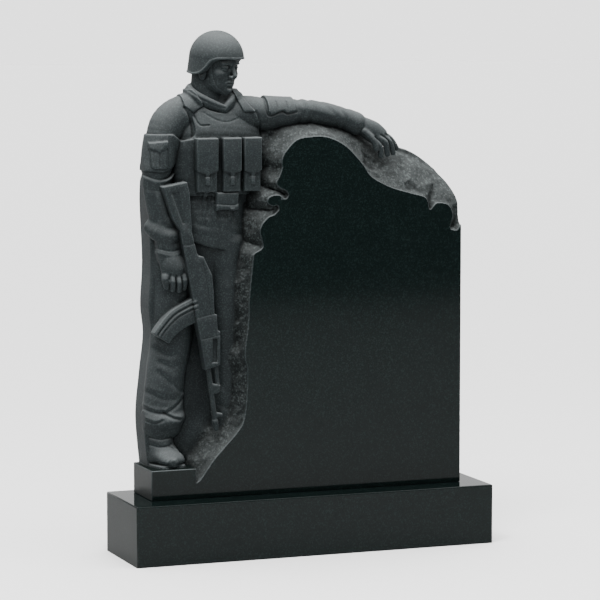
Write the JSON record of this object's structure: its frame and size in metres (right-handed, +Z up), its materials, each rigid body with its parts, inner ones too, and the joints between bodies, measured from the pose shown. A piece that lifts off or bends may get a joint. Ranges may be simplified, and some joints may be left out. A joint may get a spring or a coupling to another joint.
{
  "type": "war memorial pillar",
  "caption": "Black granite war memorial: an upright polished stele with a rough rock border and a soldier carved in high relief, standing on a polished plinth block.",
  "frame": {"origin": "centre of the plinth's underside, on the ground", "axes": "+Z up, +X to the viewer's right along the plinth's length, and the polished face looks along -Y"},
  "size_m": [1.2, 0.318, 1.648],
  "materials": {
    "plinth_granite": "black granite polished to a mirror, with a fine even grain",
    "stele_granite": "black granite: panel polished, figure rubbed to a matt grey, border left rough from the chisel"
  },
  "bodies": {
    "root": {"plinth": "plinth_granite", "stele": "stele_granite"}
  },
  "joints": []
}
